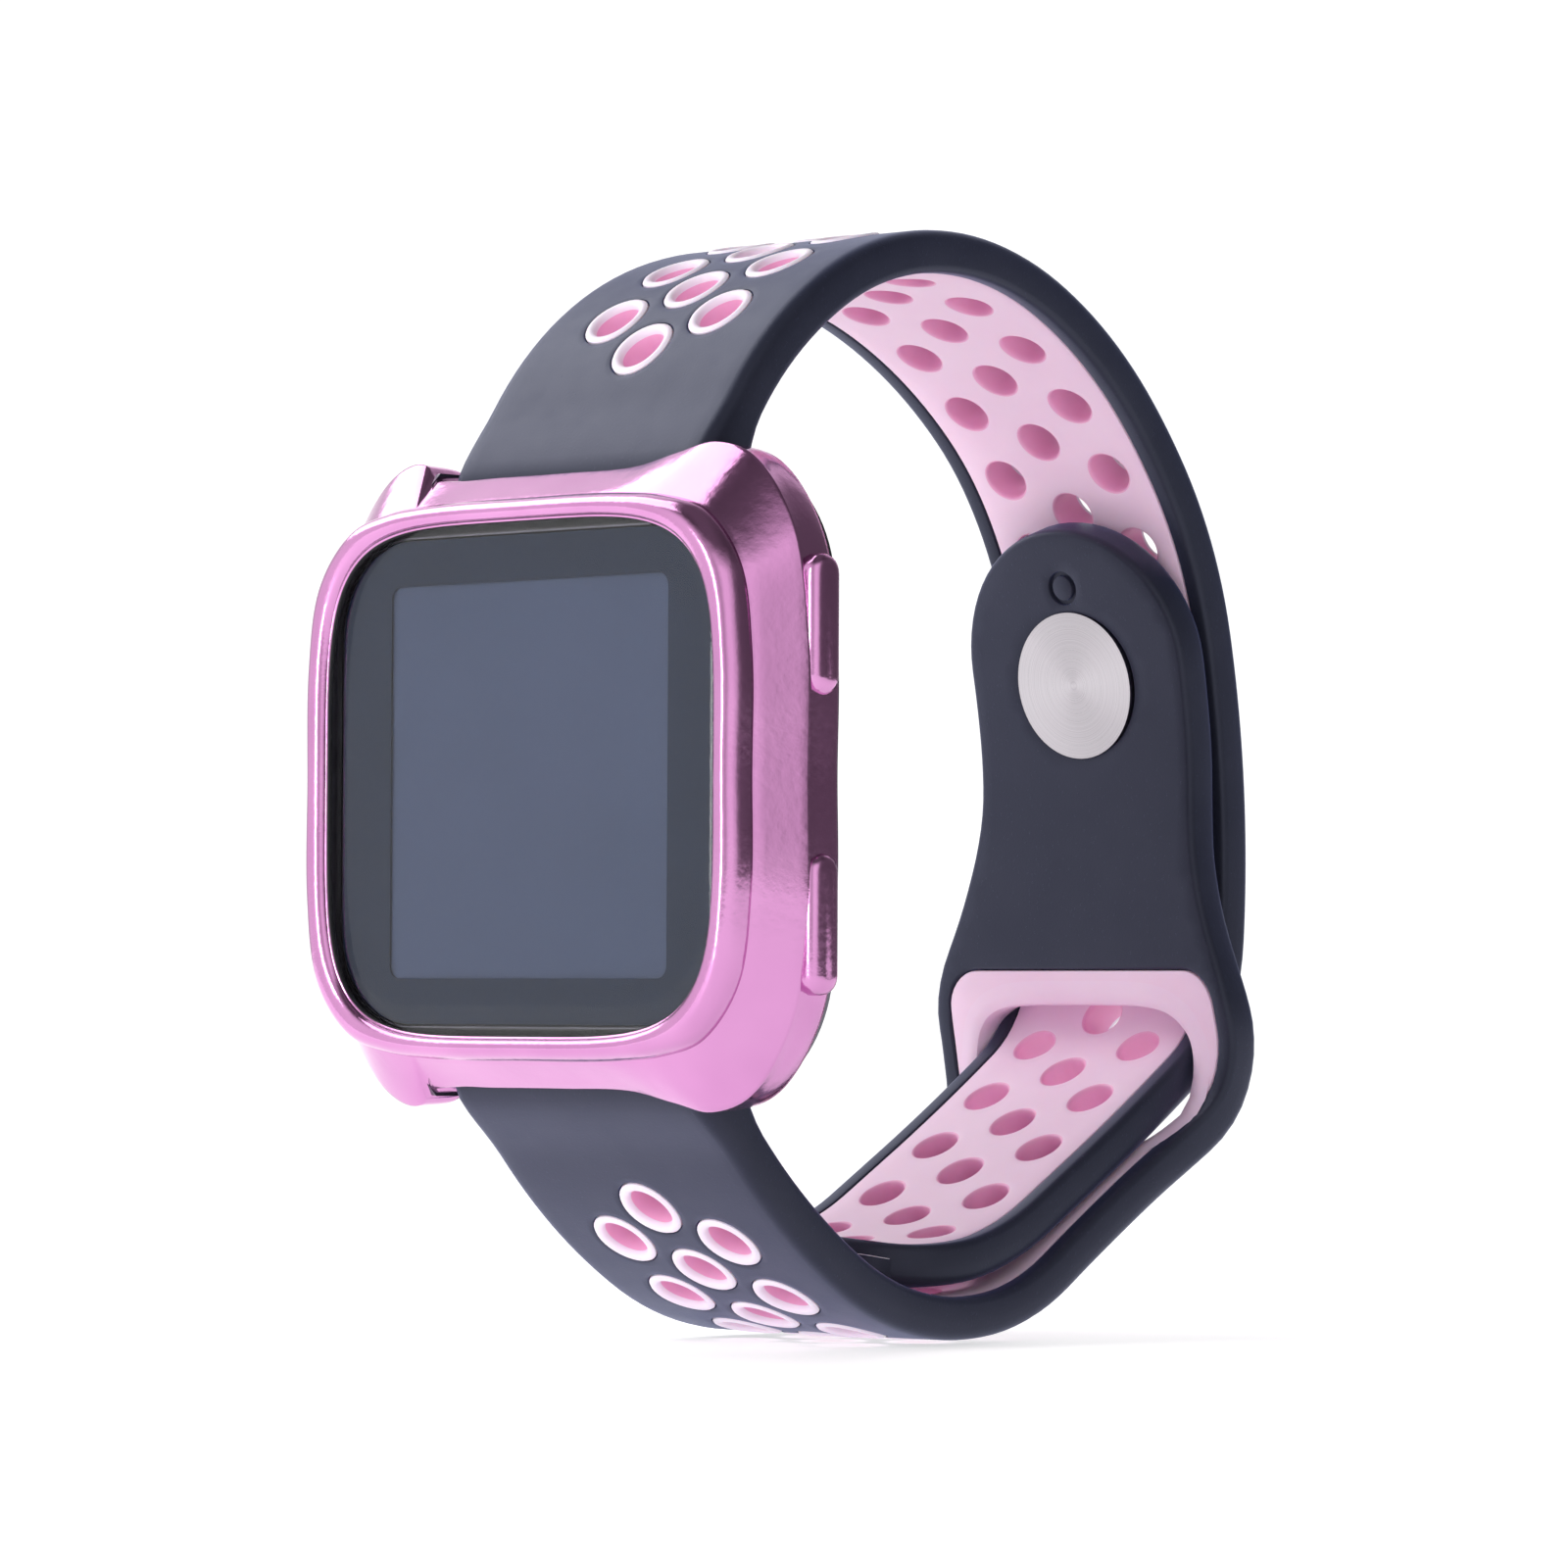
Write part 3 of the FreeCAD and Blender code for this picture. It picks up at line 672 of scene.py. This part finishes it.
class Recipe:
    """One material and the few node steps that most of them share."""

    def __init__(self, name, rough=0.5, metal=0.0):
        self.material = bpy.data.materials.new(name)
        self.material.use_nodes = True
        self.tree = self.material.node_tree
        self.tree.nodes.clear()
        self.shader = self.add("ShaderNodeBsdfPrincipled")
        end = self.add("ShaderNodeOutputMaterial")
        self.join(self.shader.outputs["BSDF"], end.inputs["Surface"])
        self.set(Roughness=rough, Metallic=metal)
        self.spot = self.add("ShaderNodeTexCoord").outputs["Object"]

    def add(self, kind, **settings):
        node = self.tree.nodes.new(kind)
        for key, value in settings.items():
            setattr(node, key, value)
        return node

    def join(self, out, into):
        self.tree.links.new(out, into)

    def set(self, **values):
        for key, value in values.items():
            self.shader.inputs[key.replace("_", " ")].default_value = value

    def noise(self, per_mm, detail=3.0, rough=0.55, stretch=None):
        node = self.add("ShaderNodeTexNoise")
        node.inputs["Scale"].default_value = per_mm / MM
        node.inputs["Detail"].default_value = detail
        node.inputs["Roughness"].default_value = rough
        spot = self.spot
        if stretch:
            scaled = self.add("ShaderNodeMapping")
            scaled.inputs["Scale"].default_value = stretch
            self.join(spot, scaled.inputs["Vector"])
            spot = scaled.outputs["Vector"]
        self.join(spot, node.inputs["Vector"])
        return node.outputs["Fac"]

    def ramp(self, factor, stops):
        node = self.add("ShaderNodeValToRGB")
        line = node.color_ramp
        while len(line.elements) < len(stops):
            line.elements.new(0.5)
        for element, (spot, colour) in zip(line.elements, stops):
            element.position = spot
            element.color = (*colour, 1)
        self.join(factor, node.inputs["Fac"])
        return node.outputs["Color"]

    def colour(self, factor, stops):
        self.join(self.ramp(factor, stops), self.shader.inputs["Base Color"])

    def roughness(self, factor, low, high):
        node = self.add("ShaderNodeMapRange")
        node.inputs["To Min"].default_value = low
        node.inputs["To Max"].default_value = high
        self.join(factor, node.inputs["Value"])
        self.join(node.outputs["Result"], self.shader.inputs["Roughness"])

    def bump(self, height, depth_mm, before=None):
        node = self.add("ShaderNodeBump")
        node.inputs["Strength"].default_value = 1.0
        node.inputs["Distance"].default_value = depth_mm * MM
        self.join(height, node.inputs["Height"])
        if before:
            self.join(before, node.inputs["Normal"])
        self.join(node.outputs["Normal"], self.shader.inputs["Normal"])
        return node.outputs["Normal"]

    def maths(self, operation, a, b):
        node = self.add("ShaderNodeMath", operation=operation)
        for socket, value in zip(node.inputs, (a, b)):
            if isinstance(value, (int, float)):
                socket.default_value = value
            else:
                self.join(value, socket)
        return node.outputs[0]


def plated():
    """Vacuum-plated soft plastic: a tinted mirror with a fine orange peel."""
    m = Recipe("plated_pink", 0.16, 1.0)
    wide = m.noise(0.12, 2)
    m.colour(wide, [(0.3, (0.62, 0.27, 0.54)), (0.7, (0.70, 0.32, 0.61))])
    peel = m.noise(1.6, 3, 0.5)
    m.roughness(m.noise(3.0, 2), 0.13, 0.2)
    m.bump(peel, 0.016)
    return m.material


def silicone(name, dark, light, rough, grain=0.006, sheen=0.0, specks=0.0):
    """Moulded silicone with a fine matt grain and faint handling marks."""
    m = Recipe(name, rough)
    cloud = m.noise(0.15, 4)
    m.colour(cloud, [(0.32, dark), (0.68, light)])
    m.roughness(m.noise(0.6, 3), rough - 0.06, rough + 0.06)
    fine = m.noise(7.0, 2)
    if specks:
        spots = m.add("ShaderNodeTexVoronoi")
        spots.inputs["Scale"].default_value = 2.2 / MM
        m.join(m.spot, spots.inputs["Vector"])
        dot = m.maths("LESS_THAN", spots.outputs["Distance"], 0.16)
        fine = m.maths("ADD", fine, m.maths("MULTIPLY", dot, specks))
    m.bump(fine, grain)
    m.set(Sheen_Weight=sheen, Sheen_Roughness=0.5)
    return m


def strap_looks():
    black = silicone("silicone_black", (0.014, 0.015, 0.023), (0.020, 0.021, 0.031), 0.44, 0.008, 0.24, 0.8)
    black.set(Specular_IOR_Level=0.4, Specular_Tint=(0.68, 0.72, 1.0, 1), Sheen_Tint=(0.35, 0.42, 1, 1))
    skin = silicone("silicone_pink", (0.91, 0.63, 0.82), (0.94, 0.68, 0.86), 0.5, 0.004, 0.1)
    # painted shade: the walls inside the holes get a deeper, darker pink than the skin face
    wall = silicone("silicone_pink_hole_painted_shade", (0.86, 0.40, 0.64), (0.90, 0.44, 0.68), 0.45, 0.004)
    # painted highlight: the raised rings round the holes get a paler, whiter pink than the skin face
    ring = silicone("silicone_pink_ring_painted_highlight", (0.86, 0.75, 0.88), (0.90, 0.80, 0.92), 0.45, 0.004)
    rim = silicone("silicone_pink_rim", (0.91, 0.65, 0.84), (0.94, 0.70, 0.88), 0.45, 0.004)
    for recipe in (skin, wall, ring, rim):
        recipe.set(Subsurface_Weight=0.12, Subsurface_Scale=0.0008)
    pinks = [skin.material, wall.material, ring.material, rim.material]
    return {"black": black.material, "pinks": pinks}


def plain(name, colour, rough, metal=0.0, grain=1.0, depth=0.004, spread=0.12):
    """A part's own colour with small variation, uneven gloss and a fine surface."""
    m = Recipe(name, rough, metal)
    low = tuple(c * (1 - spread) for c in colour)
    high = tuple(min(1.0, c * (1 + spread)) for c in colour)
    m.colour(m.noise(grain * 0.3, 3), [(0.3, low), (0.7, high)])
    m.roughness(m.noise(grain, 2), max(0.02, rough - 0.05), rough + 0.05)
    m.bump(m.noise(grain * 4, 2), depth)
    return m


def glass():
    m = Recipe("cover_glass_clear", 0.0)
    m.colour(m.noise(0.05, 1), [(0.3, (0.97, 0.98, 0.99)), (0.7, (0.99, 0.99, 1.0))])
    m.roughness(m.noise(0.3, 2), 0.0, 0.003)
    m.set(Transmission_Weight=1.0, IOR=1.3)
    return m.material


def circuit():
    """Green-black board with copper runs and a solder-mask grain."""
    m = plain("circuit_green", (0.03, 0.11, 0.07), 0.35)
    bricks = m.add("ShaderNodeTexBrick")
    bricks.inputs["Scale"].default_value = 0.5 / MM
    bricks.inputs["Mortar Size"].default_value = 0.03
    bricks.inputs["Color1"].default_value = (0.02, 0.10, 0.06, 1)
    bricks.inputs["Color2"].default_value = (0.03, 0.13, 0.08, 1)
    bricks.inputs["Mortar"].default_value = (0.45, 0.33, 0.12, 1)
    turned = m.add("ShaderNodeMapping")
    turned.inputs["Rotation"].default_value = (math.pi / 2, 0, 0)
    m.join(m.spot, turned.inputs["Vector"])
    m.join(turned.outputs["Vector"], bricks.inputs["Vector"])
    m.join(bricks.outputs["Color"], m.shader.inputs["Base Color"])
    return m.material


def stud_steel():
    """Steel turned on a lathe: fine rings and highlights that fan out from the middle."""
    m = Recipe("stud_brushed_steel", 0.3, 1.0)
    centre = Vector(LOWER.place(STUD_S, 0, -HALF_T)) * MM
    axis = (Vector(LOWER.place(STUD_S, 0, 1)) - Vector(LOWER.place(STUD_S, 0, 0))).normalized()
    arm = m.add("ShaderNodeVectorMath", operation="SUBTRACT")
    m.join(m.spot, arm.inputs[0])
    arm.inputs[1].default_value = centre
    length = m.add("ShaderNodeVectorMath", operation="LENGTH")
    m.join(arm.outputs["Vector"], length.inputs[0])
    around = m.add("ShaderNodeVectorMath", operation="CROSS_PRODUCT")
    m.join(arm.outputs["Vector"], around.inputs[0])
    around.inputs[1].default_value = axis
    world = m.add("ShaderNodeVectorTransform", vector_type="VECTOR", convert_from="OBJECT",
                  convert_to="WORLD")
    m.join(around.outputs["Vector"], world.inputs["Vector"])
    m.join(world.outputs["Vector"], m.shader.inputs["Tangent"])
    rings = m.add("ShaderNodeTexNoise", noise_dimensions="1D")
    rings.inputs["Scale"].default_value = 14 / MM
    rings.inputs["Detail"].default_value = 3
    m.join(length.outputs["Value"], rings.inputs["W"])
    m.colour(rings.outputs["Fac"], [(0.3, (0.46, 0.43, 0.46)), (0.7, (0.57, 0.54, 0.57))])
    m.roughness(rings.outputs["Fac"], 0.24, 0.36)
    m.bump(rings.outputs["Fac"], 0.004)
    m.set(Anisotropic=0.85)
    return m.material


def display_looks():
    """Dark printed border, its ink tinted blue as a painted reflection of the glass's bluish veil, and the
    slightly lighter active square behind the glass.
    """
    # the border is near-black ink plus a blue tint, which is a painted reflection of the veil the glass
    # would show
    border = plain("display_border_ink_and_painted_reflection", (0.012, 0.021, 0.048), 0.45, 0, 0.4, 0.0002, 0.04)
    panel = plain("display_panel_glow", (0.068, 0.089, 0.158), 0.5, 0, 0.4, 0.0002, 0.03)
    cells = panel.add("ShaderNodeTexChecker")
    cells.inputs["Scale"].default_value = 6 / MM
    panel.join(panel.spot, cells.inputs["Vector"])
    panel.bump(cells.outputs["Fac"], 0.0005)
    border.set(Specular_IOR_Level=0.1)
    panel.set(Specular_IOR_Level=0.1)
    return border.material, panel.material


FINISHES = {
    "aluminium": ["watch_housing", "mid_frame"],
    "window": ["sensor_window"],
    "seal": ["glass_gasket", "back_seal", "light_shroud", "left_button_seal",
             "right_upper_button_seal", "right_lower_button_seal"],
    "grey": ["back_cover", "antenna_strip"],
    "foil": ["battery"],
    "steel": ["back_screws", "battery_clip", "left_button_cap", "right_upper_button_cap",
              "right_lower_button_cap", "left_switch", "right_upper_switch", "right_lower_switch",
              "upper_bar_tube", "upper_bar_fixed_pin", "upper_bar_lever", "upper_bar_spring",
              "lower_bar_tube", "lower_bar_fixed_pin", "lower_bar_lever", "lower_bar_spring",
              "motor_can", "motor_rotor", "motor_shaft"],
    "board": ["main_board", "sensor_board"],
    "chip": ["processor_chip", "photodiode"],
    "lens": ["sensor_leds"],
    "gold": ["charge_pads"],
    "stud": ["stud_disc", "stud_post"],
}


def finish_nodes(nodes):
    """Gives every CAD node its own procedural material."""
    border, panel = display_looks()
    looks = {
        "aluminium": plain("anodised_grey", (0.16, 0.15, 0.18), 0.38, 1.0, 2.0).material,
        "window": plain("window_black", (0.015, 0.015, 0.02), 0.06, 0, 0.5, 0.0005).material,
        "seal": plain("seal_black", (0.02, 0.02, 0.022), 0.6).material,
        "grey": plain("back_grey_plastic", (0.05, 0.05, 0.055), 0.45).material,
        "foil": plain("battery_foil_wrap", (0.55, 0.55, 0.58), 0.3, 1.0, 0.4, 0.02).material,
        "steel": plain("bright_steel_fine", (0.62, 0.61, 0.62), 0.25, 1.0, 3.0).material,
        "board": circuit(),
        "chip": plain("chip_black", (0.02, 0.02, 0.024), 0.5, 0, 2.0).material,
        "lens": plain("led_lens_clear", (0.55, 0.8, 0.6), 0.15, 0, 1.0).material,
        "gold": plain("contact_gold", (0.83, 0.6, 0.25), 0.22, 1.0, 2.0).material,
        "stud": stud_steel(),
    }
    for look, names in FINISHES.items():
        for name in names:
            dress(nodes[name], looks[look])
    dress(nodes["display_border"], border)
    dress(nodes["display_panel"], panel)


def dress(thing, material):
    thing.data.materials.clear()
    thing.data.materials.append(material)


# ---------------------------------------------------------------- stage

# The camera and floor, in metres and degrees
FLOOR_HALF = 0.4
TARGET = (0.0, 0.0194, 0.0)
TARGET_LEFT = 0.00518
TARGET_UP = 0.00049
AZIMUTH = 44.0
ELEVATION = -1.91
ROLL = 0.28
DISTANCE = 0.43645
LENS = 157.5

# The tent's brightness by direction: 1 is towards TENT_FRONT, on the front left, and 0 is opposite it
TENT_FRONT = (-0.69, -0.72, 0.0)
TENT = [(0.0, 0.11), (0.12, 0.13), (0.20, 0.24), (0.26, 0.74), (0.40, 1.12), (0.56, 1.12),
        (0.74, 0.60), (0.84, 0.80), (0.95, 1.04)]


def floor(level):
    """A pale square that gives a little light of its own, so that it ends in the white around it."""
    mesh = bpy.data.meshes.new("studio_floor")
    far = FLOOR_HALF
    mesh.from_pydata([(-far, -far, level), (far, -far, level), (far, far, level), (-far, far, level)],
                     [], [(0, 1, 2, 3)])
    thing = bpy.data.objects.new("studio_floor", mesh)
    bpy.context.scene.collection.objects.link(thing)
    m = Recipe("floor_pale", 0.6)
    m.colour(m.noise(0.002, 2), [(0.3, (0.80, 0.80, 0.81)), (0.7, (0.82, 0.82, 0.83))])
    m.set(Emission_Color=(1, 1, 1, 1), Emission_Strength=0.6)
    dress(thing, m.material)
    thing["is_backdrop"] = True


def lamp(name, place, size, power, colour=(1, 1, 1), aim=(0, 0.015, 0)):
    light = bpy.data.lights.new(name, "AREA")
    light.shape = "RECTANGLE"
    light.size, light.size_y = size
    light.energy = power
    light.color = colour
    thing = bpy.data.objects.new(name, light)
    thing.location = place
    thing.rotation_euler = (Vector(aim) - Vector(place)).to_track_quat("-Z", "Y").to_euler()
    bpy.context.scene.collection.objects.link(thing)


def tent():
    """A bright tent: white in front and to the left, dim behind to the right and overhead."""
    world = bpy.data.worlds.new("studio_tent")
    bpy.context.scene.world = world
    world.use_nodes = True
    tree = world.node_tree
    tree.nodes.clear()
    end = tree.nodes.new("ShaderNodeOutputWorld")
    shade = tree.nodes.new("ShaderNodeBackground")
    tree.links.new(shade.outputs[0], end.inputs["Surface"])
    spot = tree.nodes.new("ShaderNodeTexCoord").outputs["Generated"]
    front = tree.nodes.new("ShaderNodeVectorMath")
    front.operation = "DOT_PRODUCT"
    front.inputs[1].default_value = Vector(TENT_FRONT).normalized()
    tree.links.new(spot, front.inputs[0])
    share = tree.nodes.new("ShaderNodeMapRange")
    share.inputs["From Min"].default_value = -1.0
    tree.links.new(front.outputs["Value"], share.inputs["Value"])
    ramp = tree.nodes.new("ShaderNodeValToRGB")
    line = ramp.color_ramp
    while len(line.elements) < len(TENT):
        line.elements.new(0.5)
    for element, (where, level) in zip(line.elements, TENT):
        element.position = where
        element.color = (level, level, level, 1)
    tree.links.new(share.outputs["Result"], ramp.inputs["Fac"])
    tree.links.new(ramp.outputs["Color"], shade.inputs["Color"])
    height = tree.nodes.new("ShaderNodeSeparateXYZ")
    tree.links.new(spot, height.inputs[0])
    ceiling = tree.nodes.new("ShaderNodeMapRange")
    ceiling.inputs["From Min"].default_value = 0.6
    ceiling.inputs["From Max"].default_value = 0.85
    ceiling.inputs["To Min"].default_value = 1.0
    ceiling.inputs["To Max"].default_value = 0.12
    tree.links.new(height.outputs["Z"], ceiling.inputs["Value"])
    tree.links.new(ceiling.outputs["Result"], shade.inputs["Strength"])


def studio():
    tent()
    lamp("key", (-0.35, -0.06, 0.36), (0.4, 0.4), 1.35)
    lamp("strip", (-0.105, -0.49, 0.05), (0.07, 0.4), 0.95)


def camera():
    """From the front right, just below level, with a long lens."""
    azimuth, elevation, roll = math.radians(AZIMUTH), math.radians(ELEVATION), math.radians(ROLL)
    flat = math.cos(elevation)
    back = Vector((math.sin(azimuth) * flat, -math.cos(azimuth) * flat, math.sin(elevation)))
    right = Vector((math.cos(azimuth), math.sin(azimuth), 0))
    up = back.cross(right)
    across = right * math.cos(roll) + up * math.sin(roll)
    above = up * math.cos(roll) - right * math.sin(roll)
    target = Vector(TARGET) - right * TARGET_LEFT + up * TARGET_UP
    lens = bpy.data.cameras.new("camera")
    lens.lens = LENS
    lens.sensor_width = 36
    lens.clip_start = 0.01
    thing = bpy.data.objects.new("camera", lens)
    turn = Matrix((across, above, back)).transposed().to_4x4()
    thing.matrix_world = Matrix.Translation(target + back * DISTANCE) @ turn
    bpy.context.scene.collection.objects.link(thing)
    bpy.context.scene.camera = thing
    bpy.context.scene.view_settings.view_transform = "Standard"


def corners(box):
    return [list(box[0]), list(box[1])]


def main():
    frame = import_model()
    cad_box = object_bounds()
    looks = strap_looks()
    looks["plated"] = plated()
    looks["glass"] = glass()
    looks["inner"] = plain("bumper_inner_black", (0.012, 0.012, 0.015), 0.4, 0, 2.0).material
    upper_strap(looks)
    lower_strap(looks)
    bumper(looks)
    buttons(looks)
    glass_pane(looks)
    finish_nodes(frame["nodes"])
    floor(cad_box[0].z - 0.0002)
    studio()
    camera()
    {"cad": corners(cad_box), "visual": corners(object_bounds())}


main()
